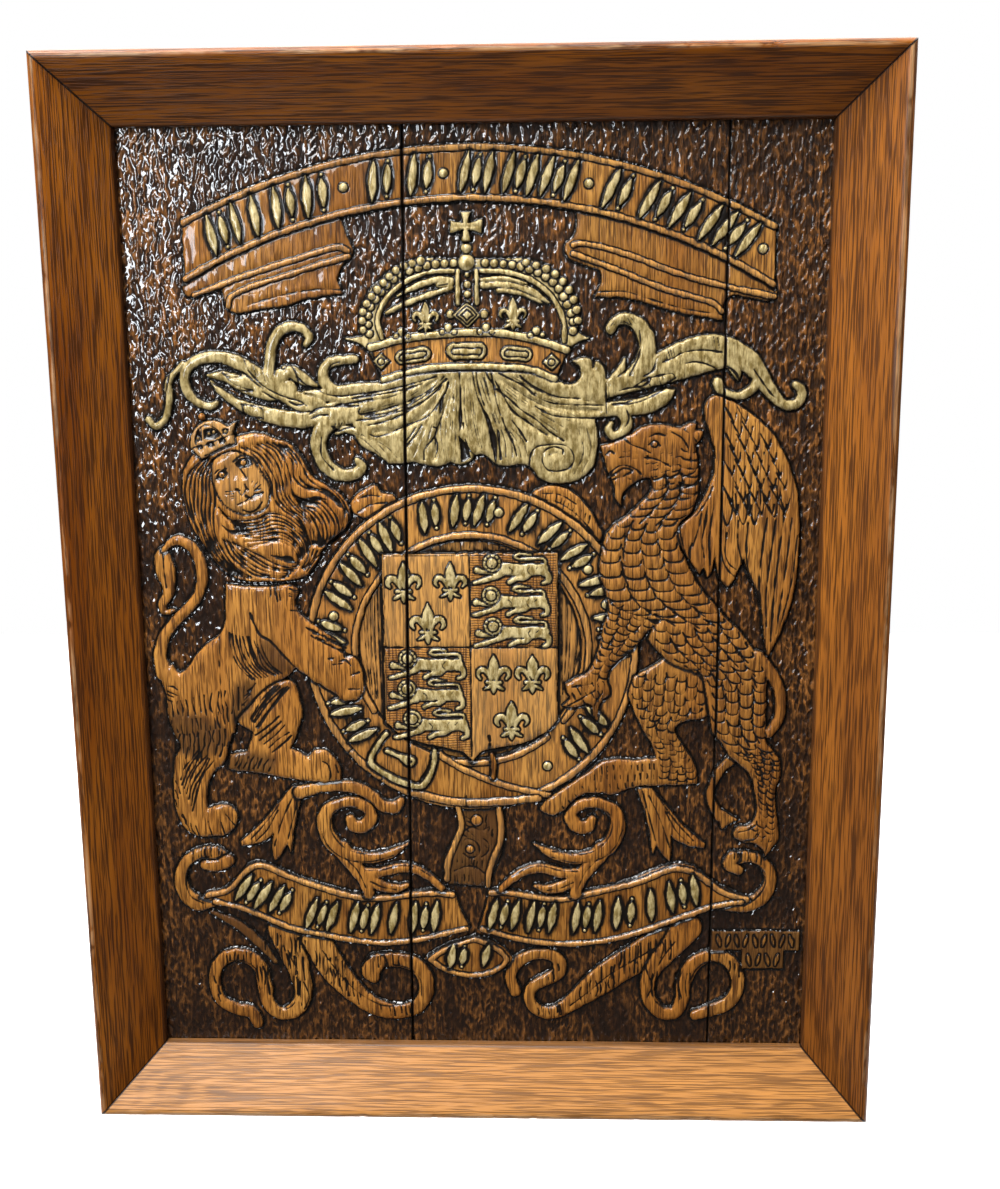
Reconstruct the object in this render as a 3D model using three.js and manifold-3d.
// Carved and burnt oak wall panel with a crowned shield, its garter and two supporters,
// set in a mitred, bevelled oak frame. Millimetres, +Z up, the carved face looks along -Y.
// The origin is on the back of the top rail, at mid width, where the panel hangs from the wall.
import * as THREE from 'three';
import { mergeVertices } from 'three/addons/utils/BufferGeometryUtils.js';
import Module from 'manifold-3d';

const wasm = await Module();
wasm.setup();

// Driving dimensions of the frame. The arris is the outer front edge of the rails.
const ARRIS_WIDTH = 650;
const ARRIS_HEIGHT = 864;
const EDGE_ROUND = 5;
const BEVEL_WIDTH = 46;
const ARRIS_HEIGHT_ABOVE_WALL = 62;
const LIP_HEIGHT_ABOVE_WALL = 25;
const RABBET_WIDTH = 12;
const GAP = 0.3;
const MITRE_GAP = 0.24;
const HANGING_DROP = 25;

// Heights above the wall inside the frame
const BOARD_BACK = 4;
const GROUND = 18;
const FIELD = 20.2;
const FIGURE = 22;
const OVERLAP = 23;
const BEAD_TOP = 21.8;
const MARK_TOP = 22.3;
const DETAIL = 1.3;
const EDGE_BEAD = BEAD_TOP - FIELD;
const GROOVE_DEPTH = 1.4;
// How far plates reach down into the slab, and ridges, studs and marks into their plate
const ROOT = 1.2;
const SINK = 0.4;

// The joints between the three boards lean a little: u at the top and at the bottom
const LEFT_JOINT = { top: -54, bottom: -61, width: 1.3 };
const RIGHT_JOINT = { top: 200, bottom: 198, width: 0.8 };

// How closely the facets follow the drawn curves
const OUTLINE_TOLERANCE = 1.7;
const STROKE_TOLERANCE = 1.8;
const LINE_TOLERANCE = 2.4;
const CURVE_STEPS = 6;

const OUTER_HALF_WIDTH = ARRIS_WIDTH / 2 + EDGE_ROUND;
const OUTER_HALF_HEIGHT = ARRIS_HEIGHT / 2 + EDGE_ROUND;
const SIGHT_INSET = EDGE_ROUND + BEVEL_WIDTH;
const RABBET_INSET = SIGHT_INSET - RABBET_WIDTH;

// Drawing of the carving, in millimetres from the middle of the panel: u to the right, v up.
// An outline is closed, and a third number marks a corner. In a stroke the third number is
// its half width. A mirrored copy is turned over about an upright line.
const TOP_SCROLL = { centre: [-3, -122], low: 450, high: 493, from: -229, to: 237 };
const TOP_CELLS = [
  [-196, 32], [-171, 10], [-148, 24], [-123, 26], [-71.5, 23], [-40, 24], [4, 28], [38, 28],
  [68, 29], [114, 23], [144, 23], [167, 22], [186, 10], [206, 30],
];
const TOP_DOTS = [-100.5, -22, 91, 227];
const LEFT_TAILS = [
  [-229, 269, 1], [-231, 262], [-227, 257], [-200, 264, 1], [-197, 250], [-191, 244.5], [-168, 247],
  [-150, 249], [-130, 255], [-103, 258, 1], [-107, 268], [-104, 279], [-97, 286], [-94, 291],
  [-97, 298], [-104, 318, 1], [-166, 300, 1],
];
const RIGHT_TAILS = [
  [81, 323, 1], [82, 310], [79, 300], [73, 295], [72, 290], [76, 284], [90, 278], [100, 274],
  [101, 266], [96, 254, 1], [120, 253], [140, 248], [160, 242], [180, 238], [197, 235, 1],
  [197, 246], [203, 254], [220, 252], [235, 250.5], [239, 254], [238, 265, 1], [200, 283, 1],
  [160, 301, 1], [120, 314, 1],
];
const TAIL_BEADS = [
  [[-222, 258, 2.2], [-180, 273, 2.2], [-140, 285, 2.2], [-105, 294, 2.2], [-98, 291, 1.5]],
  [[-98, 287, 2], [-120, 281, 2.2], [-150, 272, 2.2], [-180, 263, 2.2], [-193, 256, 2], [-195, 249, 1.5]],
  [[237, 253, 2], [200, 261, 2.2], [160, 272, 2.2], [120, 287, 2.2], [86, 295, 2.2], [79, 294, 1.5]],
  [[79, 287.5, 2], [110, 276, 2.2], [150, 260, 2.2], [190, 248, 2.2], [196, 242, 1.5]],
];

const CROWN = [
  [-12, 284, 1], [-30, 285], [-46, 284], [-61, 278], [-73, 269], [-83, 259], [-89, 247],
  [-91, 235], [-89, 225, 1], [-103, 223, 1], [-90, 218], [-84, 213], [-79, 203], [-74, 189, 1],
  [-50, 195], [-20, 198], [10, 198], [45, 196], [66, 189, 1], [70, 203], [74, 212], [82, 218],
  [93, 222, 1], [83, 227, 1], [84, 235], [84, 245], [78, 258], [68, 268], [56, 279], [41, 284],
  [20, 284], [2, 284, 1],
];
const CROSS = [
  [-9.5, 320, 1], [-7.6, 315], [-7, 311.5, 1], [-11, 312.3], [-17.5, 314, 1], [-17.5, 303.5, 1],
  [-11, 305.2], [-7, 306, 1], [-7.6, 302], [-9, 297.5, 1], [-1, 297.5, 1], [-2.4, 302], [-3, 306, 1],
  [1, 305.2], [7.5, 303.5, 1], [7.5, 314, 1], [1, 312.3], [-3, 311.5, 1], [-2.4, 315], [-0.5, 320, 1],
];
const CROWN_RAILS = [
  [[-14, 275, 1.8], [-30, 274, 1.8], [-45, 270, 1.8], [-60, 262, 1.8], [-70, 252, 1.8], [-75, 240, 1.8],
    [-74, 222, 1.8]],
  [[4, 275, 1.8], [22, 274, 1.8], [38, 270, 1.8], [53, 262, 1.8], [64, 252, 1.8], [71, 240, 1.8],
    [73, 224, 1.8]],
  [[-13, 274, 1.5], [-13, 250, 1.5]], [[3, 274, 1.5], [3, 250, 1.5]],
  [[-20, 267, 1.5], [-38, 264, 3], [-56, 255, 3], [-68, 245, 1.5]],
  [[10, 267, 1.5], [28, 264, 3], [48, 255, 3], [62, 245, 1.5]],
  [[-82, 215, 2.2], [-60, 220, 2.2], [-30, 225, 2.2], [0, 226, 2.2], [30, 224, 2.2], [60, 217, 2.2],
    [75, 212, 2.2]],
  [[-74, 191.5, 2.2], [-50, 197, 2.2], [-20, 200, 2.2], [15, 200, 2.2], [45, 198, 2.2], [65, 191.5, 2.2]],
];
const PEARL_BANDS = [
  [[-16, 280], [-30, 280.5], [-45, 278], [-60, 271], [-72, 262], [-80, 250], [-83, 236], [-81, 226]],
  [[6, 280], [22, 280.5], [38, 278], [53, 271], [65, 262], [73, 250], [78, 238], [78, 226]],
  [[-5, 266], [-5, 259], [-5, 252]],
];
const PEARL_RADIUS = 3.3;
const PEARL_SPACING = 8.6;
const LOZENGE = { at: [-5, 241], half: [11, 9] };
const RIM_FLEURS = [[-38, 239], [31, 240]];
const RIM_FLEUR_HEIGHT = 22;
const RIM_BALLS = [[-57, 228, 3.5], [-20, 230, 3.5], [11, 231, 3.5], [50, 228, 3.5], [-5, 299, 4.5],
  [-5, 292.5, 4], [-5, 281.5, 6.5]];
// Middle, width and height of each jewel, and how far its straight sides reach
const JEWELS = [
  [-6, 213, 33, 13], [-49, 209, 27, 11], [36, 209.5, 26, 11], [-75, 207, 10, 10], [60, 206, 10, 10],
];
const JEWEL_CORNER = [0.8, 0.5];

const CLOTH = [
  [-73, 189, 1], [-50, 196], [-20, 198], [10, 198], [45, 196], [64, 190, 1], [72, 187], [80, 187],
  [84.5, 193], [83, 200], [77, 204, 1], [86, 207.5], [93, 205.5], [95, 199, 1], [98, 204], [103, 200],
  [106, 190, 1], [106, 161, 1], [97, 158, 1], [99, 146], [98.5, 130], [94, 118], [86, 110.5],
  [75, 107], [63, 106.5], [52, 111], [46, 119], [40, 122.5], [30, 121], [20, 121.5], [13, 126],
  [8, 130], [0, 130, 1], [-4, 124], [-12, 122], [-20, 124.5], [-28, 121], [-40, 122], [-50, 124.5],
  [-60, 123.5], [-70, 123, 1], [-80, 131], [-92, 138], [-97, 146, 1], [-100, 160], [-108, 170, 1],
  [-100, 182], [-85, 187],
];
const CLOTH_FOLDS = [
  [[-50, 193], [-72, 184], [-98, 178]], [[-42, 194], [-62, 180], [-82, 168], [-97, 162]],
  [[-32, 195], [-48, 177], [-70, 163], [-92, 157]], [[-24, 194], [-40, 166], [-60, 152], [-84, 146]],
  [[-20, 194], [-28, 172], [-38, 156], [-52, 141]], [[-17, 194], [-26, 170], [-33, 140]],
  [[-11, 195], [-10, 170], [-13, 145], [-12, 124]], [[0, 196], [3, 178], [12, 158], [17, 124]],
  [[12, 195], [20, 172], [31, 150], [37, 126]], [[17, 195], [28, 176], [46, 158], [78, 143]],
  [[24, 195], [42, 179], [62, 171], [104, 169]], [[44, 166], [62, 161.5], [104, 160]],
  [[46, 128], [50, 137], [62, 139.5], [75, 136], [80, 127], [72, 118], [60, 118.5], [55, 126], [62, 132],
    [69, 128]],
];
const MANTLING_STROKES = [
  [[-234, 204, 2.5], [-246, 190, 3], [-247, 172, 3], [-251, 160, 3], [-259, 154.5, 3], [-264, 160, 3]],
  [[-172, 194, 5.5], [-186, 203, 6], [-202, 209, 5], [-220, 208, 4.5], [-232, 198, 4.2], [-232, 184, 4],
    [-224, 174, 3.5], [-213, 170, 3], [-208, 173, 2]],
  [[-214, 195, 1.5], [-200, 194, 4.5], [-185, 188, 7], [-168, 184, 9], [-150, 183, 8]],
  [[-212, 190, 1.5], [-203, 181, 3], [-190, 172, 4], [-172, 165, 6], [-152, 160, 7], [-133, 160, 7],
    [-112, 168, 7]],
  [[-165, 192, 5], [-163, 207, 4.8], [-161, 219, 4.5], [-155, 229, 4.4], [-146, 233, 4], [-137, 231, 4],
    [-131, 224, 3.3], [-134, 219, 2.6]],
  [[-160, 190, 7], [-148, 198, 5], [-138, 192, 5], [-127, 186, 1.5]],
  [[-152, 180, 7], [-140, 173, 8], [-126, 170, 8]],
  [[-95, 207, 3.3], [-108, 206, 4], [-118, 202.5, 4.2], [-121, 194, 4.6], [-118, 186, 5], [-108, 180, 6],
    [-92, 178, 7]],
  [[-137, 181.5, 0.8], [-120, 179, 5.5], [-100, 180, 7.5], [-78, 184, 5]],
  [[-92, 164, 8], [-108, 163, 9], [-122, 153, 7.5], [-126.5, 138, 6.3], [-121.5, 123, 6.2],
    [-110, 114.5, 5.4], [-98, 115, 4.8], [-92, 121, 4.2], [-95.5, 126.5, 2.6]],
  [[-112, 148, 1.2], [-104, 151.5, 3], [-95, 149, 3]],
  [[109, 229, 4], [113, 235, 4.2], [121, 237, 4.5], [130, 233, 5.4], [136, 224, 6.4], [138, 213, 7],
    [135, 202, 7], [125, 191, 6]],
  [[111, 189, 4], [117, 197, 3.4], [120, 206, 0.6]],
  [[100, 181, 8], [119, 186, 8], [136, 191, 9], [150, 198, 12.5], [165, 204, 14.5], [180, 208.5, 15],
    [195, 210.5, 13.5], [207, 208, 11], [218, 203, 9], [227, 193, 7], [233.5, 183, 6],
    [240.5, 174.5, 4.8], [248, 168.8, 4], [256, 169, 4], [260.8, 174.5, 4], [260, 181, 4],
    [256, 184, 3.2]],
  [[203, 204, 5], [208.5, 196, 4], [210.5, 188, 0.8]],
  [[227, 190, 4.4], [221, 180.5, 3.8], [211, 176, 3.3], [202, 177.5, 3.3], [196.5, 181, 4],
    [194, 186, 4.5]],
  [[106, 166, 6], [122, 167, 6.5], [140, 170, 7], [152, 176, 6], [160, 181, 1]],
  [[108, 166, 4], [118, 163, 4.8], [122.3, 155, 4.8], [118.5, 147, 4.8], [111.5, 144.5, 4],
    [107.5, 150, 3.3], [109.5, 154.5, 2.6]],
];
const MANTLING_LINES = [
  [[117, 182, 0.8], [128, 183, 0.8], [139, 181, 0.8], [128, 174.5, 0.8], [116, 170, 0.8]],
  [[150, 203, 0.8], [165, 209, 0.8], [180, 212, 0.8], [197, 210, 0.8]],
  [[107.5, 188, 1], [107.5, 163, 1]],
];

const MANE = [
  [-191, 147], [-178, 149], [-165, 146], [-150, 139.5], [-140, 129], [-133, 114, 1], [-122, 107],
  [-112, 101], [-105, 92], [-102, 83], [-105, 73], [-115, 63], [-126, 53], [-131, 42], [-139, 32],
  [-150, 28], [-168, 26.5], [-190, 27], [-203, 31], [-214, 41], [-224, 56], [-233, 72], [-238, 90],
  [-239.5, 108], [-236, 122], [-227, 133], [-210, 138],
];
const LION_FACE = [
  [-200, 133.5], [-190, 133], [-182, 128], [-174, 118], [-169, 108], [-168, 97], [-172, 88],
  [-184, 83], [-196, 84.5], [-205, 91], [-211, 101], [-214, 114], [-212, 127],
];
// Locks of the mane: each family runs from its first line to its second in a number of steps
const MANE_FAMILIES = [
  [[[-222, 134], [-233, 121], [-235, 104], [-232, 86], [-224, 62], [-209, 38]], [[-213, 128], [-216, 117],
    [-216, 104], [-214, 88], [-212, 72], [-199, 34]], 2],
  [[[-192, 143], [-170, 142], [-152, 134], [-142, 121], [-132, 108], [-117, 101]], [[-186, 138],
    [-168, 128], [-158, 113], [-150, 103], [-138, 99], [-121, 97]], 1],
  [[[-151, 100], [-138, 97], [-122, 93], [-110, 84], [-110, 70], [-124, 53]], [[-165, 89], [-150, 84],
    [-141, 76], [-136, 64], [-138, 50], [-143, 37]], 2],
  [[[-211, 90], [-202, 81], [-186, 77], [-168, 81], [-152, 77], [-143, 66], [-142, 50]], [[-206, 66],
    [-190, 61], [-176, 63], [-160, 68], [-151, 60], [-148, 50], [-152, 43]], 2],
  [[[-211, 66], [-204, 54], [-192, 44], [-176, 38], [-160, 34], [-145, 36]], [[-213, 50], [-206, 40],
    [-196, 33], [-180, 30], [-162, 29.5], [-148, 31]], 1],
];
const LION_CROWN = [
  [-231, 137.5, 1], [-229.5, 148], [-223, 156, 1], [-214, 159.5], [-206, 157.5], [-200, 154, 1],
  [-192.5, 158, 1], [-195, 149], [-194, 141, 1], [-208, 136], [-216, 131], [-222, 127.5, 1],
];
const LION_TORSO = [
  [-208, 25, 1], [-190, 22.5], [-167, 23], [-152, 24], [-147, 18], [-150, 9], [-147, -1, 1],
  [-135, -10], [-124, -18], [-114, -27], [-111, -38, 1], [-102.5, -37.5], [-98, -45], [-95.5, -57],
  [-97, -70], [-104, -75.5], [-113, -75], [-122, -68], [-136, -59], [-152, -48, 1], [-165, -60],
  [-190, -80], [-203, -94, 1], [-206, -104, 1], [-230, -104, 1], [-262, -90, 1], [-262, -72],
  [-266, -60], [-266, -48, 1], [-256, -44, 1], [-250, -51], [-243, -46], [-235, -35], [-225, -26],
  [-214, -17], [-210, -8], [-209, 5],
];
const STANDING_LEG = [
  [-262, -70, 1], [-262, -90], [-257, -106], [-253, -116], [-258, -126], [-260, -142],
  [-260, -170], [-256, -184], [-249, -193], [-238, -197, 1], [-228, -196], [-218, -195],
  [-209, -187], [-206.5, -176], [-212, -169], [-222, -167.5], [-232, -171, 1], [-232, -158],
  [-229, -146], [-223, -136], [-215, -128], [-211, -114], [-207, -100], [-206, -80, 1], [-230, -60, 1],
];
const RAISED_LEG = [
  [-160, -57], [-154, -60], [-149.5, -74], [-148, -89], [-153, -105], [-158.5, -117, 1],
  [-150, -121], [-144, -124], [-139, -119], [-131, -118], [-123, -124], [-117, -135],
  [-117, -145, 1], [-128, -147], [-145, -146.5], [-163, -144], [-185, -139.5], [-213, -136, 1],
  [-211, -122, 1], [-196, -120, 1], [-190, -103, 1], [-203, -94], [-190, -78], [-176, -64],
];
const LION_TAIL = [
  [-263, -52, 7], [-266, -38, 6], [-262, -22, 4.8], [-252, -8, 4.5], [-241, 3, 4.5],
  [-231.5, 15, 4.5], [-227, 30, 4.8], [-228.5, 44, 4.6], [-234.5, 55, 4.5], [-244, 61, 4.2],
  [-253, 58, 3.2], [-257, 54, 2.4],
];
const TAIL_TUFT = [
  [-258, 54, 2.5], [-259, 46, 7], [-257.5, 36, 8.5], [-255.5, 25, 6], [-257, 15, 4.5],
  [-261.5, 7, 3.8], [-260, 0.5, 2.8], [-253, 2, 2.2],
];
const LION_LINES = [
  [[-190, 0, 0.6], [-186, -13, 1], [-178, -22, 1.2], [-168, -27, 1.4], [-160, -38, 1.6],
    [-151, -48, 1.6]],
  [[-208, -64, 0.6], [-212, -80, 1], [-211, -104, 1.2]],
  [[-118, -42, 0.8], [-110, -40, 0.8], [-105, -45, 0.8]], [[-106, -53, 0.8], [-99, -50.5, 0.8]],
  [[-108, -65, 0.8], [-99, -65, 0.8]],
  [[-232, -182, 0.8], [-229, -196, 0.8]], [[-221, -183, 0.8], [-218, -195, 0.8]], [[-217, -175, 0.8],
    [-209, -186, 0.8]],
];
// Fur, as lines drawn between a first and a last one
const FUR_FAMILIES = [
  [[[-206, -20], [-203, -38], [-190, -58]], [[-178, -26], [-170, -42], [-160, -50]], 1],
  [[[-164, -60], [-178, -74], [-194, -92]], [[-160, -98], [-172, -110], [-184, -119]], 1],
  [[[-216, -20], [-215, -80], [-215, -110], [-226, -134]], [[-256, -80], [-252, -105], [-252, -130],
    [-252, -154]], 2],
];

const GARTER = { centre: [-4.5, -32.5], outer: 138.5, inner: 95, letters: 118 };
// Places round the garter, in degrees from the right hand side
const GARTER_CELLS = [
  215.8, 203.7, 172, 156.2, 144.3, 133, 123.5, 106.3, 93.5, 84, 68, 54.2, 42, 27.5, 11.2, 1.7, -30.6, -43.2,
];
const GARTER_DOTS = [165.5, 78.5, 35.4, 19.3, -57.8];
const GARTER_LEAVES = [
  [[-103, 88], [-98, 97], [-90, 103], [-80, 106], [-76, 100], [-66, 97], [-66, 86], [-80, 79], [-94, 80]],
  [[46, 98], [58, 105], [70, 104], [82, 97], [92, 86], [99, 74], [103, 64], [98, 57], [88, 66], [76, 76],
    [60, 86]],
];
const BUCKLE = [
  [-77, -104, 2], [-84, -113, 2.3], [-91, -129, 2.5], [-76, -141, 2.5], [-60, -148.5, 2.5],
  [-48, -150, 2.5], [-41, -140, 2.5], [-37, -128, 2.3], [-37, -119, 2],
];
const BUCKLE_TONGUE = [[-77, -119, 1.8], [-66, -124, 2.2], [-57.5, -128.5, 4.6]];
const STRAP = [
  [-22, -166, 1], [-17, -180], [-18, -193], [-26, -206], [-30, -220], [-31, -238, 1],
  [8, -242, 1], [12, -228], [18, -213], [21, -200], [21.5, -185], [20, -166, 1],
];
const STRAP_BEADS = [
  [[-19, -170, 2.4], [-15.5, -184, 2.4], [-19, -196, 2.4], [-25, -208, 2.4], [-28.5, -220, 2.4],
    [-29, -234, 2.4]],
  [[17.5, -168, 2.4], [18.5, -185, 2.4], [17, -201, 2.4], [12, -214, 2.4], [8.5, -228, 2.4],
    [6.5, -240, 2.4]],
  [[-33, -122, 2.4], [-20, -131, 2.6], [-4, -139, 2.6], [15, -147, 2.6], [36, -153, 2.6],
    [58, -157, 2.4]],
];
const SHIELD = [
  [-77.5, 49, 1], [67, 50, 1], [67, -92, 1], [60, -100], [48, -108.5], [32, -114], [14, -117],
  [3, -120], [-4.5, -129, 1], [-12, -121.5], [-28, -116.5], [-48, -112], [-64, -106], [-77.5, -94, 1],
];
const SHIELD_LINES = [[[-5.5, 49, 0.7], [-5.5, -124, 0.7]], [[-77, -29.5, 0.7], [66.5, -29.5, 0.7]]];
const FLEURS = [[-60, 25.5, 35], [-21.5, 26, 32], [-40.5, -9, 35], [13.5, -52, 34], [46, -52, 34],
  [28.5, -92.5, 34]];
const SHIELD_LIONS = [[13, 41.5], [12, 14.5], [13.5, -11.5], [-58, -39], [-59, -65], [-55, -91]];
// A lily around its middle, drawn to its own height. Its size is given where it stands.
const FLEUR_HEIGHT = 34;
const FLEUR = [
  [0, 17], [4, 8], [2.5, 0], [8, 5], [13.5, 1], [9.5, -7], [7, -2], [3.5, -7], [7.5, -13], [0, -17],
];
const WALKING_LION = [
  [5, 0], [24, 0], [42, -0.5], [49, -9], [49, -17], [43, -17], [43.5, -12], [38, -10], [31, -12],
  [29, -17], [17, -17], [24, -13], [25, -9.5], [12, -10], [3, -14], [-12, -17], [-4, -11.5],
  [-14, -11], [-16, -5], [-8, -6],
];
const WALKING_TAIL = [[46, -2, 1.2], [41, 3, 1.3], [30, 5, 1.3], [19, 6, 1.5]];
const WALKING_HEAD_RADIUS = 7;

const DRAGON = [
  [101, 137, 1], [108, 139], [116, 141.5], [125, 146], [133, 151.5], [142, 154], [155, 153],
  [165, 151, 1], [174, 155], [178, 154, 1], [177.5, 149, 1], [183.5, 148], [182, 142], [177.5, 137, 1],
  [180, 122], [180.5, 105], [179, 92], [174, 81], [167, 75], [163, 66], [166, 55], [172, 43],
  [178, 30], [188, 15], [197, 5], [206, -6], [215, -14], [223, -24], [230, -35], [239, -48],
  [240.5, -70], [240.5, -100], [241, -110], [248, -119], [253, -128], [254, -140], [250, -155],
  [251, -170], [253.5, -184], [254, -197], [249, -205], [243, -213.5, 1], [240, -205], [231, -200],
  [222, -199], [216, -194], [218, -186], [228, -184], [233.5, -179], [234.5, -168], [233, -155],
  [229, -141], [221, -132], [211, -124], [205, -113], [197, -104], [194, -94, 1], [190, -70],
  [186, -54], [172, -48], [158, -41], [148, -31], [141, -23, 1], [148, -5, 1], [130, 0], [109, 8],
  [106, 18], [102, 30], [101, 42], [103, 52], [106, 64], [113, 73], [122, 79], [133, 90], [141, 98],
  [143, 104], [141, 110], [136, 110.5], [128, 106], [121, 100], [119, 94], [118.5, 88, 1], [114, 93],
  [112.5, 103], [111, 110, 1], [107, 117], [104, 128],
];
const DRAGON_FORELEG = [
  [109, 10, 1], [108, 0], [105, -9], [103, -20], [100.5, -31], [97, -41], [90, -51.5], [80, -57],
  [73, -61, 1], [75, -68], [78, -73], [71, -80, 1], [83, -80.5], [89, -78], [95, -80], [96.5, -89],
  [99.5, -93, 1], [101, -83], [104, -75], [110, -71], [110, -64], [108, -57], [110, -49],
  [118, -40], [131, -29], [143, -15], [152, -8, 1], [150, 10, 1],
];
const DRAGON_THIGH = [
  [130, -54, 1], [143, -47], [156, -38, 1], [192, -48, 1], [193, -88, 1], [186, -91.5],
  [175, -92.5], [165.5, -99], [168, -108], [176, -121], [183, -134], [185, -148.5, 1], [140, -149.5, 1],
  [150, -126, 1], [146, -114], [138, -100], [130, -83], [126, -69],
];
const WING = [
  [184, 166], [187, 174], [191, 176.5], [200, 174.5], [210, 170], [220, 163], [230, 155], [240, 145],
  [250, 127], [257, 110], [261, 93], [263, 65], [262, 30], [258, 6], [249, -20], [240, -39, 1],
  [236.5, -20], [234, 0], [230, 17], [223, 30], [218.5, 44, 1], [214, 35], [211, 27], [206, 21.5],
  [200, 26], [197, 34], [195, 46, 1], [192, 32], [189, 29, 1], [186, 38, 1], [183, 31, 1], [178, 38],
  [172, 46], [163, 62], [164, 70], [170, 76], [177, 82], [184, 93], [190, 107], [193, 118],
  [193, 132], [188, 147], [184.5, 158],
];
const DRAGON_TAIL = [[232, -38, 5.5], [243, -51.5, 5.3], [250, -64, 4.8], [252.3, -78, 4.6],
  [250.5, -92, 4.5], [243, -104, 4]];
const TAIL_HOOK = [[213, -126, 4.5], [203.5, -136, 3.8], [198, -147, 3.5], [195.8, -158, 3.5],
  [198.5, -168, 4], [204, -177, 4.5]];
const TAIL_BARB = [[197, -165], [206, -171], [220, -179.5, 1], [213, -183], [206, -188, 1], [203, -180]];
// Front and back edges of the dragon's scaled body, from the jaw down to the foot
const SCALE_FRONT = [[143, 110], [143, 100], [130, 87], [110, 69], [104, 52], [103, 38], [105, 24],
  [112, 8], [150, -10], [152, -28], [165, -44], [189, -58], [195, -75], [196, -92], [204, -109],
  [216, -124]];
const SCALE_BACK = [[178, 134], [180, 113], [178, 92], [167, 76], [164, 60], [172, 45], [178, 29],
  [189, 13], [204, -5], [214, -14], [227, -31], [239, -48], [240, -70], [240, -90], [241, -108],
  [252, -126]];
const SCALE_ROWS = 13;
const WING_FAMILIES = [
  [[[204, 70], [204, 50], [210, 28]], [[258, 80], [260, 40], [243, -30]], 4],
  [[[173, 68], [172, 55], [171, 48]], [[192, 75], [192, 55], [189, 36]], 1],
  [[[206, 130], [203, 112], [207, 92]], [[248, 120], [252, 100], [252, 82]], 2],
];
const DRAGON_LINES = [
  [[111, 113, 0.8], [120, 119, 1.6], [127, 117, 1.4], [120, 112.5, 0.8]],
  [[140, 138, 0.8], [145, 141, 1.2], [149, 137, 0.8]],
];

const SCROLL_AXIS = -7;
const SCROLL_STROKES = [
  [[-61, -202, 1], [-75, -210.5, 4], [-95, -215, 5], [-112, -212, 6], [-125, -203, 7], [-132, -188, 6.5],
    [-130, -174, 6], [-118, -166, 5], [-104, -165.5, 5], [-94, -171.5, 5], [-92, -180, 5]],
  [[-92, -178, 5.5], [-98, -186, 6], [-107, -186, 5.5], [-110, -180, 4]],
  [[-118, -208, 8], [-108, -222, 7], [-100, -234, 6], [-96, -247, 5]],
  [[-100, -229, 5], [-84, -228, 4.5], [-68, -224, 4.5], [-54, -226, 4], [-42, -234, 3.5], [-33, -243, 3]],
  [[-96, -232, 4], [-86, -240, 5], [-72, -243, 4], [-62, -240, 2]],
];
const PLATFORM_LEFT = [[-152, -156, 6], [-135, -151.5, 5], [-118, -150.5, 5], [-103, -152.5, 5.5],
  [-91, -160, 5], [-81, -168.5, 5], [-71, -169, 5.5], [-66, -163, 3]];
const PLATFORM_RIGHT = [
  [58, -162], [70, -153], [83, -144], [93, -137], [102, -129.5], [113, -126], [130, -127], [152, -125, 1],
  [185, -148.5, 1], [137, -150, 1], [128, -152], [112, -158], [104, -156], [90, -157], [80, -163],
  [72, -172], [62, -176], [52, -171],
];
const LEAF_RIGHT = [
  [133, -150, 1], [145, -150, 1], [158, -166], [170, -181], [181, -192], [192, -201, 1], [191, -205, 1],
  [178, -203], [167, -198], [163, -194, 1], [164, -206], [163, -220, 1], [157, -213], [151, -203, 1],
  [148, -211, 1], [145, -195], [141, -175],
];
const LOW_SCROLL_LEFT = [
  [-243, -252, 1], [-230, -248], [-217, -240], [-207, -231], [-200, -222.5], [-190, -219], [-178, -223],
  [-160, -231], [-140, -238.5], [-118, -245], [-95, -249], [-70, -248.5], [-45, -244], [-28, -245],
  [-21, -249, 1], [-16, -264], [-9, -279, 1], [-30, -286], [-55, -293], [-80, -296], [-105, -294.5],
  [-135, -289], [-165, -282], [-190, -272.5], [-215, -260.5],
];
const LOW_SCROLL_RIGHT = [
  [7, -248, 1], [12, -243], [22, -243], [45, -248], [70, -249], [92, -244], [112, -240], [132, -233],
  [150, -224.5], [168, -219], [182, -221.5], [195, -232], [210, -241], [231, -251, 1], [222, -255],
  [200, -261], [178, -269], [155, -279], [130, -287], [100, -294], [70, -296], [40, -293],
  [15, -287], [-1, -279.5, 1], [4, -264],
];
const LOW_BEADS = [
  [[-236, -250, 1.5], [-216, -243.5, 2.6], [-203, -229, 2.6], [-190, -222, 2.6], [-160, -234, 2.6],
    [-118, -248, 2.6], [-95, -252, 2.6], [-45, -247, 2.6], [-24, -248, 2.2]],
  [[-230, -255.5, 1.5], [-205, -262, 2.6], [-165, -279, 2.6], [-135, -286, 2.6], [-105, -291.5, 2.6],
    [-80, -293, 2.6], [-55, -290, 2.6], [-12, -279.5, 2.2]],
  [[9, -246, 2.2], [22, -246, 2.6], [70, -252, 2.6], [92, -247, 2.6], [132, -237, 2.6],
    [168, -223.5, 2.6], [182, -226.5, 2.6], [210, -245.5, 2.6], [228, -251, 1.5]],
  [[2, -280, 2.2], [40, -290, 2.6], [70, -293, 2.6], [100, -291, 2.6], [130, -284, 2.6], [178, -266, 2.6],
    [200, -258, 2.6], [224, -253, 1.5]],
];
const LOW_CELLS = [
  [-196, -246, 27, -22], [-172, -254, 16, -18], [-137, -267, 27, -9], [-100, -270, 27, -3],
  [-75, -270, 11, 0], [-48, -269, 28, 4], [21, -266, 28, -3], [53, -268, 27, 0], [92, -268, 28, 3],
  [124, -264, 24, 8],
  [147, -257, 11, 15], [174, -246, 32, 20], [-20, -305, 20, 2], [5, -304, 9, -3],
];
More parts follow.
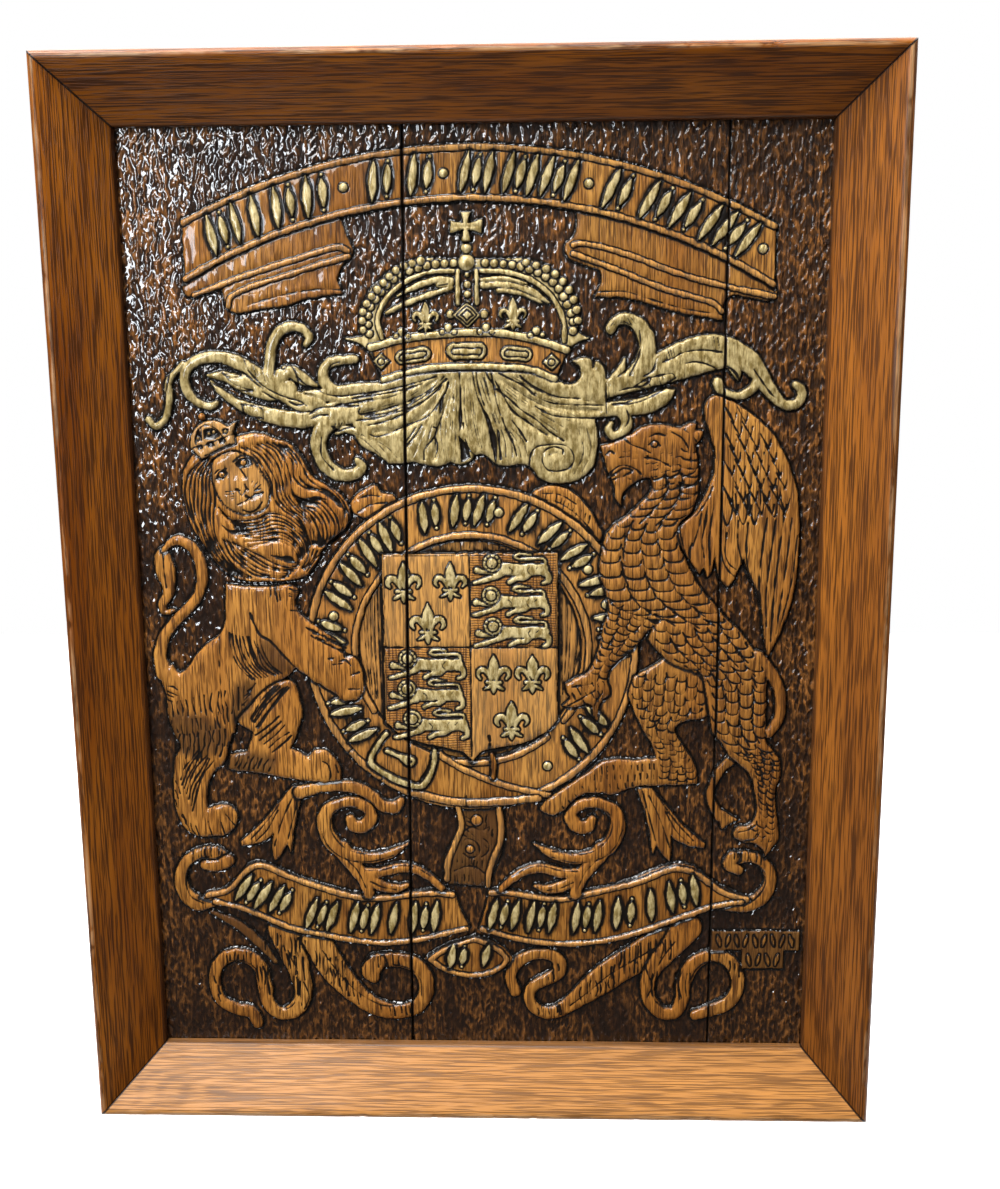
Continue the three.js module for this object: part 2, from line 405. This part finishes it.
const CENTRE_PIECE = [
  [-49, -308, 1], [-34, -297], [-15, -290], [-5, -286, 1], [10, -291], [22, -299], [28, -307, 1],
  [22, -316], [8, -323], [-10, -325], [-28, -321], [-40, -315],
];
const RIBBONS = [
  [[-232, -257, 4], [-246, -257, 7], [-256, -248, 6.5], [-259, -235, 5.5], [-255, -222, 5],
    [-246, -214, 5], [-234, -211, 6], [-223, -213.5, 6], [-218.5, -219, 4.5]],
  [[-217, -218, 5.5], [-226, -222.5, 5.5], [-237, -222.5, 4.5]],
  [[-170, -282, 15], [-164, -303, 12], [-158, -325, 9], [-156, -342, 8], [-163, -356, 7], [-176, -361, 6],
    [-187, -352, 6], [-190, -335, 6.5], [-193, -318, 6], [-203, -308, 6.5], [-217, -306, 6],
    [-230, -314, 5.5], [-234, -330, 5], [-230, -347, 5], [-217, -356, 5.5], [-203, -360, 6],
    [-198, -370, 5]],
  [[-143, -292, 12], [-129, -318, 12], [-113, -338, 9.5], [-96, -352, 8], [-76, -358, 7],
    [-57, -353.5, 6.5], [-48, -340, 6.5], [-49, -325, 7], [-59, -313, 7], [-75, -309, 6.5],
    [-92, -311, 7.5]],
  [[-90, -311, 7.5], [-96, -320, 8], [-94, -325, 6]],
  [[30, -338, 5], [26, -324, 5], [32, -311, 5.5], [44, -304, 5], [58, -303, 5], [68, -309, 5.5],
    [68, -319, 6], [57, -327, 5.5], [46, -333, 5], [42, -344, 5], [48, -354.5, 5.5], [60, -358, 6],
    [73, -353, 6.5], [86, -343, 8.5], [102, -330, 12], [120, -316, 13], [140, -303, 14], [158, -290, 14]],
  [[178, -278, 13], [165, -296, 10], [152, -312, 8], [145, -328, 6.5], [147, -345, 6], [157, -357, 6],
    [169, -357, 5.5], [175, -345, 6], [177, -328, 6.5], [184, -312, 6.5], [197, -304, 5.5],
    [211, -306, 6], [221, -317, 6], [223, -333, 5.5], [216, -347, 6], [202, -354, 6], [187, -359, 5]],
  [[212, -258, 4], [228, -257, 6], [241, -250, 6.5], [248, -238, 5.5], [247, -226, 5], [240, -217, 4.5],
    [230, -213, 5], [217, -214, 6.5]],
  [[216, -213, 5.5], [213.5, -220, 5.5], [221, -225, 4.5]],
];
const MAKER_PLATE = [[200, -281, 1], [275, -281, 1], [275, -299, 1], [262, -299, 1], [262, -316, 1],
  [226, -316, 1], [226, -299, 1], [198, -299, 1]];

// Curves. A closed curve or an open one is sampled and then thinned to the tolerance.
const distanceToChord = ([u, v], [u0, v0], [u1, v1]) => {
  const length = Math.hypot(u1 - u0, v1 - v0) || 1;
  return Math.abs((u - u0) * (v1 - v0) - (v - v0) * (u1 - u0)) / length;
};

function thin(points, tolerance) {
  const kept = [points[0]];
  let start = 0;
  for (let end = 2; end < points.length; end += 1) {
    const between = points.slice(start + 1, end);
    if (between.some((point) => distanceToChord(point, points[start], points[end]) > tolerance)) {
      start = end - 1;
      kept.push(points[start]);
    }
  }
  kept.push(points.at(-1));
  return kept;
}

function smooth(points, closed = false) {
  if (points.length < 3) return points.map(([u, v, w = 0]) => [u, v, w]);
  const knots = points.map(([u, v, w = 0]) => new THREE.Vector3(u, v, w));
  const curve = new THREE.CatmullRomCurve3(knots, closed, 'centripetal');
  const spans = closed ? points.length : points.length - 1;
  return curve.getPoints(spans * CURVE_STEPS).map((point) => point.toArray());
}

// A closed outline is cut at its corners into smooth spans
function outline(points, tolerance = OUTLINE_TOLERANCE) {
  const corners = points.flatMap((point, index) => (point.length === 3 ? [index] : []));
  if (corners.length === 0) return thin(smooth(points, true), tolerance).slice(0, -1);
  return corners.flatMap((corner, order) => {
    const next = corners[(order + 1) % corners.length];
    const count = (next - corner + points.length) % points.length || points.length;
    const steps = Array.from({ length: count + 1 }, (_, step) => (corner + step) % points.length);
    const span = steps.map((index) => points[index].slice(0, 2));
    return thin(smooth(span), tolerance).slice(0, -1);
  });
}

// The two sides of a stroke and its round ends, as one outline
function strokeOutline(points, tolerance = STROKE_TOLERANCE) {
  const line = smooth(points);
  const direction = (index) => {
    const [before, after] = [line[Math.max(index - 1, 0)], line[Math.min(index + 1, line.length - 1)]];
    const length = Math.hypot(after[0] - before[0], after[1] - before[1]) || 1;
    return [(after[0] - before[0]) / length, (after[1] - before[1]) / length];
  };
  const side = (sign) => line.map(([u, v, w], index) => {
    const [du, dv] = direction(index);
    return [u - sign * w * dv, v + sign * w * du];
  });
  const tip = (index, sign) => {
    const [du, dv] = direction(index);
    const [u, v, w] = line[index];
    return [u + sign * w * du, v + sign * w * dv];
  };
  const right = thin(side(-1), tolerance);
  const left = thin(side(1), tolerance).reverse();
  return [...right, tip(line.length - 1, 1), ...left, tip(0, -1)];
}

const mix = (a, b, share) => a.map((value, index) => value + (b[index] - value) * share);
const between = (first, last, share) => first.map((point, index) => mix(point, last[index], share));
const mirrored = (points, axis) => points.map(([u, ...rest]) => [2 * axis - u, ...rest]);
const moved = (points, [du, dv], scale = 1) => (
  points.map(([u, v, ...more]) => [du + u * scale, dv + v * scale, ...more])
);
const pointAt = ([u, v], radius, angle) => [u + radius * Math.cos(angle), v + radius * Math.sin(angle)];
const circle = (centre, radius, sides) => (
  Array.from({ length: sides }, (_, side) => pointAt(centre, radius, (side / sides) * 2 * Math.PI))
);
function arc(centre, radius, from, to, count) {
  const angles = Array.from({ length: count + 1 }, (_, step) => from + ((to - from) * step) / count);
  return angles.map((angle) => pointAt(centre, radius, angle));
}

// Gives a line its half width, and half of that at its two ends
function widened(points, halfWidth) {
  const isEnd = (index) => index === 0 || index === points.length - 1;
  return points.map(([u, v], index) => [u, v, isEnd(index) ? halfWidth / 2 : halfWidth]);
}

// Solids
function solid(geometry) {
  const bare = geometry.clone();
  bare.deleteAttribute('normal');
  bare.deleteAttribute('uv');
  const merged = mergeVertices(bare, 1e-4);
  return new wasm.Manifold(new wasm.Mesh({
    numProp: 3,
    vertProperties: new Float32Array(merged.attributes.position.array),
    triVerts: new Uint32Array(merged.index.array),
  }));
}

function polyhedron(vertices, faces) {
  const geometry = new THREE.BufferGeometry();
  geometry.setAttribute('position', new THREE.Float32BufferAttribute(vertices.flat(), 3));
  geometry.setIndex(faces.flat());
  return geometry;
}

function plate(points, top, bottom = GROUND - ROOT) {
  const shape = new THREE.Shape(points.map(([u, v]) => new THREE.Vector2(u, v)));
  const geometry = new THREE.ExtrudeGeometry(shape, { depth: top - bottom, bevelEnabled: false, steps: 1 });
  return solid(geometry.translate(0, 0, bottom));
}

// A bar of triangular section along a line: its wide side at one height and its edge at another
function bar(points, wideHeight, edgeHeight) {
  const line = thin(smooth(points), LINE_TOLERANCE);
  const last = line.length - 1;
  const vertices = line.flatMap(([u, v, w], index) => {
    const [before, after] = [line[Math.max(index - 1, 0)], line[Math.min(index + 1, last)]];
    const length = Math.hypot(after[0] - before[0], after[1] - before[1]);
    const [nu, nv] = [-(after[1] - before[1]) / length, (after[0] - before[0]) / length];
    return [[u + w * nu, v + w * nv, wideHeight], [u - w * nu, v - w * nv, wideHeight], [u, v, edgeHeight]];
  });
  const faces = [[0, 1, 2], [3 * last, 3 * last + 2, 3 * last + 1]];
  for (let index = 0; index < last; index += 1) {
    const [l, r, e] = [3 * index, 3 * index + 1, 3 * index + 2];
    faces.push([l, l + 3, r], [r, l + 3, r + 3]);
    faces.push([l, e, e + 3], [l, e + 3, l + 3]);
    faces.push([r, r + 3, e + 3], [r, e + 3, e]);
  }
  const facing = edgeHeight > wideHeight ? faces : faces.map(([a, b, c]) => [a, c, b]);
  return solid(polyhedron(vertices, facing));
}

const ridge = (points, level, height = DETAIL) => bar(points, level - SINK, level + height);
const groove = (points, level, depth = GROOVE_DEPTH) => bar(points, level + SINK, level - depth);

function stud([u, v], radius, level, height, sides = 5) {
  const cone = new THREE.ConeGeometry(radius, height + SINK, sides, 1);
  return solid(cone.rotateX(Math.PI / 2).translate(u, v, level + (height - SINK) / 2));
}

const plates = (outlines, top) => outlines.map((points) => plate(outline(points), top));
const strokes = (list, top) => list.map((points) => plate(strokeOutline(points), top));
const ridges = (list, level, height) => list.map((points) => ridge(points, level, height));

// Inscriptions are rows of leaning blades, which are no letters. A blade is a lozenge on its field.
const BLADE = { pitch: 14, halfWidth: 4, lean: 1.5, bulge: 2, shortReach: 0.72 };
const BLADE_FACES = [[0, 2, 1], [0, 3, 2], [0, 1, 4], [1, 2, 4], [2, 3, 4], [3, 0, 4]];

function blades([u, v], turn, width, height, level) {
  const { pitch, halfWidth, lean, bulge, shortReach } = BLADE;
  const count = Math.max(1, Math.round(width / pitch));
  const [cos, sin] = [Math.cos(turn), Math.sin(turn)];
  return Array.from({ length: count }, (_, index) => {
    const x = (width * (index + 0.5)) / count - width / 2;
    const reach = (height / 2) * (index % 2 ? shortReach : 1);
    const local = [[x - lean, -reach], [x + halfWidth, bulge], [x + lean, reach], [x - halfWidth, -bulge]];
    const base = local.map(([a, b]) => [u + a * cos - b * sin, v + a * sin + b * cos, level - SINK]);
    return solid(polyhedron([...base, [u + x * cos, v + x * sin, MARK_TOP]], BLADE_FACES));
  });
}

// The scroll over the crown: an arched band with an edge bead, marks and two folded tails
const ARCH_STEPS = 9;
const BAND_BEAD = { halfWidth: 2.2, inset: 2.4, short: 1.5 };
const DOT_RADIUS = 4;

function topScroll() {
  const { centre, low, high, from, to } = TOP_SCROLL;
  const middle = (low + high) / 2;
  const angleAt = (u, radius) => Math.acos((u - centre[0]) / radius);
  const band = (radius, short = 0) => (
    arc(centre, radius, angleAt(to - short, radius), angleAt(from + short, radius), ARCH_STEPS)
  );
  const field = plate([...band(high), ...band(low).reverse()], FIELD);
  const edges = [high - BAND_BEAD.inset, low + BAND_BEAD.inset].map((radius) => (
    widened(band(radius, BAND_BEAD.short), BAND_BEAD.halfWidth)
  ));
  const marks = TOP_CELLS.flatMap(([u, width]) => {
    const angle = angleAt(u, middle);
    return blades(pointAt(centre, middle, angle), angle - Math.PI / 2, width, 30, FIELD);
  });
  const dots = TOP_DOTS.map((u) => (
    stud(pointAt(centre, middle, angleAt(u, middle)), DOT_RADIUS, FIELD, EDGE_BEAD)
  ));
  return [
    field, ...plates([LEFT_TAILS, RIGHT_TAILS], FIELD), ...ridges(TAIL_BEADS, FIELD, EDGE_BEAD),
    ...ridges(edges, FIELD, EDGE_BEAD), ...marks, ...dots,
  ];
}

function lily(place, height) {
  const half = FLEUR.slice(1, -1);
  const whole = [...FLEUR, ...mirrored(half, 0).reverse()];
  return plate(moved(whole, place, height / FLEUR_HEIGHT), FIGURE);
}

// A jewel is an oblong with its corners cut off
function jewel([u, v, width, height]) {
  const [a, b] = [width / 2, height / 2];
  const [c, d] = [a * JEWEL_CORNER[0], b * JEWEL_CORNER[1]];
  const corners = [[-a, -d], [-c, -b], [c, -b], [a, -d], [a, d], [c, b], [-c, b], [-a, d]];
  return plate(moved(corners, [u, v]), FIGURE);
}

function crown() {
  const railHeight = FIGURE + DETAIL - FIELD;
  const pearls = PEARL_BANDS.flatMap((points) => {
    const knots = points.map(([u, v]) => new THREE.Vector3(u, v, 0));
    const path = new THREE.CatmullRomCurve3(knots, false, 'centripetal');
    const count = Math.round(path.getLength() / PEARL_SPACING);
    return path.getSpacedPoints(count).map(({ x, y }) => stud([x, y], PEARL_RADIUS, FIELD, railHeight, 4));
  });
  const [a, b] = LOZENGE.half;
  const lozenge = moved([[-a, 0], [0, -b], [a, 0], [0, b]], LOZENGE.at);
  return [
    ...plates([CROWN], FIELD), ...plates([CROSS], FIGURE), ...ridges(CROWN_RAILS, FIELD, railHeight),
    ...pearls, plate(lozenge, FIGURE + DETAIL / 2), ...JEWELS.map(jewel),
    ...RIM_FLEURS.map((place) => lily(place, RIM_FLEUR_HEIGHT)),
    ...RIM_BALLS.map(([u, v, radius]) => stud([u, v], radius, GROUND, FIGURE + DETAIL - GROUND, 6)),
  ];
}

const mantling = () => [...plates([CLOTH], FIGURE), ...strokes(MANTLING_STROKES, FIGURE)];
const mantlingGrooves = () => [
  ...CLOTH_FOLDS.map((line) => groove(widened(line, 1.5), FIGURE)),
  ...MANTLING_LINES.map((line) => groove(line, FIGURE)),
];

function family([first, last, steps], halfWidth, level) {
  const lines = Array.from({ length: steps + 1 }, (_, step) => between(first, last, step / steps));
  return lines.map((line) => groove(widened(line, halfWidth), level));
}

// The left supporter
const FACE_TOP = OVERLAP + 0.6;
const LION_EYES = [[-206, 115], [-188, 123.5]];
const LION_NOSE = [[-197, 112, 1.5], [-192, 103, 2.5], [-189, 98, 3]];
const LION_MOUTH = [[-193, 91, 0.8], [-184, 95.5, 1], [-174, 99.5, 0.8]];
const LION_CROWN_BALL = [-221, 162];

const lion = () => [
  ...plates([LION_TORSO, STANDING_LEG, RAISED_LEG], FIGURE), ...plates([MANE, LION_CROWN], OVERLAP),
  ...strokes([LION_TAIL, TAIL_TUFT], FIGURE), plate(outline(LION_FACE), FACE_TOP),
  stud(LION_CROWN_BALL, 3.2, GROUND, OVERLAP - GROUND), ridge(LION_NOSE, FACE_TOP, 0.7),
  ...LION_EYES.map((place) => stud(place, 3.4, OVERLAP, 0.8)),
];
const lionGrooves = () => [
  ...MANE_FAMILIES.flatMap((lines) => family(lines, 1.5, OVERLAP)),
  ...FUR_FAMILIES.flatMap((lines) => family(lines, 1, FIGURE)),
  ...LION_LINES.map((line) => groove(line, FIGURE)), groove(LION_MOUTH, FACE_TOP),
];

// The garter, its buckle and the strap that hangs from it
const GARTER_BEAD = { halfWidth: 2.8, degreesPerStep: 15 };
const GARTER_SIDES = { outer: 27, inner: 22 };

function garter() {
  const { centre, outer, inner, letters } = GARTER;
  const radians = THREE.MathUtils.degToRad;
  const opening = plate(circle(centre, inner, GARTER_SIDES.inner), FIELD + 1, GROUND - ROOT - 1);
  const ring = plate(circle(centre, outer, GARTER_SIDES.outer), FIELD).subtract(opening);
  const bead = ([radius, from, to]) => {
    const count = Math.ceil(Math.abs(to - from) / GARTER_BEAD.degreesPerStep);
    const line = arc(centre, radius, radians(from), radians(to), count);
    return ridge(widened(line, GARTER_BEAD.halfWidth), FIELD, EDGE_BEAD);
  };
  const beads = [
    [outer - 3, -125, 219], [inner + 2.6, -38, 212], [inner + 2.6, -110, -50], [outer - 3, -139, -126],
  ];
  const place = (angle) => pointAt(centre, letters, radians(angle));
  return [
    ring, ...beads.map(bead),
    ...GARTER_CELLS.flatMap((angle) => blades(place(angle), radians(angle - 90), 20, 25, FIELD)),
    ...GARTER_DOTS.map((angle) => stud(place(angle), DOT_RADIUS, FIELD, EDGE_BEAD)),
    ...plates(GARTER_LEAVES, FIGURE), ...plates([STRAP], FIELD), ...ridges(STRAP_BEADS, FIELD, EDGE_BEAD),
    ...strokes([BUCKLE, BUCKLE_TONGUE], FIGURE),
  ];
}

const SHIELD_TOP = FIELD + 0.6;

function shield() {
  const lions = SHIELD_LIONS.flatMap((place) => [
    plate(moved(WALKING_LION, place), FIGURE), plate(circle(place, WALKING_HEAD_RADIUS, 6), FIGURE + 0.4),
    ridge(moved(WALKING_TAIL, place), SHIELD_TOP, EDGE_BEAD - 0.8),
  ]);
  const lilies = FLEURS.map(([u, v, height]) => lily([u, v], height));
  return [...plates([SHIELD], SHIELD_TOP), ...lilies, ...lions];
}
const shieldGrooves = () => SHIELD_LINES.map((line) => groove(line, SHIELD_TOP));

// The right supporter
const WING_TOP = FIGURE + 0.4;

const dragon = () => [
  ...plates([DRAGON, DRAGON_THIGH, TAIL_BARB], FIGURE), ...plates([DRAGON_FORELEG, WING], WING_TOP),
  ...strokes([DRAGON_TAIL, TAIL_HOOK], FIGURE),
];
// Scale rows cross the body from its front edge to its back edge, and each sags a little
const SCALE_SAG = 0.06;
const SCALE_DEPTH = 1.6;

function scaleRows() {
  const [front, back] = [SCALE_FRONT, SCALE_BACK].map((line) => (
    new THREE.CatmullRomCurve3(line.map(([u, v]) => new THREE.Vector3(u, v, 0)))
  ));
  return Array.from({ length: SCALE_ROWS }, (_, row) => {
    const [a, b] = [front, back].map((line) => line.getPoint((row + 0.5) / SCALE_ROWS));
    const middle = a.clone().lerp(b, 0.5);
    const low = middle.y - a.distanceTo(b) * SCALE_SAG;
    return groove([[a.x + 3, a.y, 0.8], [middle.x, low, 1.2], [b.x - 3, b.y, 0.8]], WING_TOP, SCALE_DEPTH);
  });
}
const dragonGrooves = () => [
  ...scaleRows(), ...WING_FAMILIES.flatMap((lines) => family(lines, 1.1, WING_TOP)),
  ...DRAGON_LINES.map((line) => groove(line, FIGURE)),
];

function compartment() {
  const rightScrolls = SCROLL_STROKES.map((line) => mirrored(line, SCROLL_AXIS));
  return [
    ...strokes([...SCROLL_STROKES, ...rightScrolls, PLATFORM_LEFT], FIGURE),
    ...plates([PLATFORM_RIGHT, LEAF_RIGHT, mirrored(LEAF_RIGHT, SCROLL_AXIS).reverse()], FIGURE),
  ];
}

// The two low scrolls, the piece between them and the ribbons that curl below
const LOW_FIELD = FIELD + 0.4;
const MAKER_TOP = GROUND + 0.8;
const CENTRE_CELLS_BELOW = -300;

function lowScrolls() {
  const marks = LOW_CELLS.flatMap(([u, v, width, degrees]) => {
    const height = v < CENTRE_CELLS_BELOW ? 20 : 27;
    return blades([u, v], THREE.MathUtils.degToRad(degrees), width, height, FIELD);
  });
  return [
    ...strokes(RIBBONS, FIGURE), ...plates([LOW_SCROLL_LEFT, LOW_SCROLL_RIGHT, CENTRE_PIECE], LOW_FIELD),
    ...ridges(LOW_BEADS, LOW_FIELD - 0.1, MARK_TOP - FIELD), ...marks, ...plates([MAKER_PLATE], MAKER_TOP),
  ];
}

// The three boards: one slab with all its carving, parted at the two joints
function boards() {
  const [a, b] = [OUTER_HALF_WIDTH - RABBET_INSET - GAP, OUTER_HALF_HEIGHT - RABBET_INSET - GAP];
  const slab = plate([[-a, -b], [a, -b], [a, b], [-a, b]], GROUND, BOARD_BACK);
  const raised = wasm.Manifold.union([
    slab, ...topScroll(), ...crown(), ...mantling(), ...lion(), ...garter(), ...shield(), ...dragon(),
    ...compartment(), ...lowScrolls(),
  ]);
  const grooves = [...mantlingGrooves(), ...lionGrooves(), ...shieldGrooves(), ...dragonGrooves()];
  const carved = raised.subtract(wasm.Manifold.union(grooves));
  const upright = (low, high) => [[low, -b - 1], [high, b + 1]];
  const edge = ({ top, bottom, width }, side) => (
    upright(bottom + (side * width) / 2, top + (side * width) / 2)
  );
  const [leftOuter, rightOuter] = [-a - 1, a + 1].map((u) => upright(u, u));
  const piece = ([low0, high0], [low1, high1]) => (
    carved.intersect(plate([low0, low1, high1, high0], OVERLAP + 4, BOARD_BACK - 1))
  );
  return {
    board_left: piece(leftOuter, edge(LEFT_JOINT, -1)),
    board_middle: piece(edge(LEFT_JOINT, 1), edge(RIGHT_JOINT, -1)),
    board_right: piece(edge(RIGHT_JOINT, 1), rightOuter),
  };
}

// A rail of the frame: its section swept straight, with both ends mitred to 45 degrees
const ROUNDING = EDGE_ROUND * 0.3;
const RAIL_SECTION = [
  [0, 0], [0, ARRIS_HEIGHT_ABOVE_WALL - EDGE_ROUND], [ROUNDING, ARRIS_HEIGHT_ABOVE_WALL - ROUNDING],
  [EDGE_ROUND, ARRIS_HEIGHT_ABOVE_WALL], [SIGHT_INSET, LIP_HEIGHT_ABOVE_WALL],
  [SIGHT_INSET, GROUND + GAP], [RABBET_INSET, GROUND + GAP], [RABBET_INSET, 0],
];

function rail(halfLength) {
  const count = RAIL_SECTION.length;
  const end = (side) => (
    RAIL_SECTION.map(([inset, height]) => [side * (halfLength - inset - MITRE_GAP), -inset, height])
  );
  const section = RAIL_SECTION.map(([inset, height]) => new THREE.Vector2(-inset, height));
  const cap = THREE.ShapeUtils.triangulateShape(section, []);
  const farCap = cap.map((corners) => corners.map((corner) => corner + count));
  const faces = [...cap.map(([a, b, c]) => [a, c, b]), ...farCap];
  for (let index = 0; index < count; index += 1) {
    const next = (index + 1) % count;
    faces.push([index, next, index + count], [next, next + count, index + count]);
  }
  return polyhedron([...end(-1), ...end(1)], faces);
}

// Materials and the assembled panel
const CARVED_OAK = new THREE.MeshStandardMaterial({ color: 0x9c6630, roughness: 0.45, metalness: 0 });
const FRAME_OAK = new THREE.MeshStandardMaterial({ color: 0x7a4726, roughness: 0.4, metalness: 0 });

function meshFrom(body) {
  const { vertProperties, triVerts } = body.getMesh();
  const geometry = new THREE.BufferGeometry();
  geometry.setAttribute('position', new THREE.Float32BufferAttribute(vertProperties, 3));
  geometry.setIndex(Array.from(triVerts));
  geometry.computeVertexNormals();
  return geometry;
}

const panel = new THREE.Group();
panel.rotation.x = Math.PI / 2;
panel.position.z = HANGING_DROP - OUTER_HALF_HEIGHT;

for (const [name, body] of Object.entries(boards())) {
  const board = new THREE.Mesh(meshFrom(body), CARVED_OAK);
  board.name = name;
  panel.add(board);
}

const RAILS = [
  ['frame_top', OUTER_HALF_WIDTH, [0, OUTER_HALF_HEIGHT], 0],
  ['frame_bottom', OUTER_HALF_WIDTH, [0, -OUTER_HALF_HEIGHT], Math.PI],
  ['frame_left', OUTER_HALF_HEIGHT, [-OUTER_HALF_WIDTH, 0], Math.PI / 2],
  ['frame_right', OUTER_HALF_HEIGHT, [OUTER_HALF_WIDTH, 0], -Math.PI / 2],
];
for (const [name, halfLength, [u, v], turn] of RAILS) {
  const member = new THREE.Mesh(rail(halfLength), FRAME_OAK);
  member.name = name;
  member.position.set(u, v, 0);
  member.rotation.z = turn;
  panel.add(member);
}

const group = new THREE.Group();
group.add(panel);
export default group;
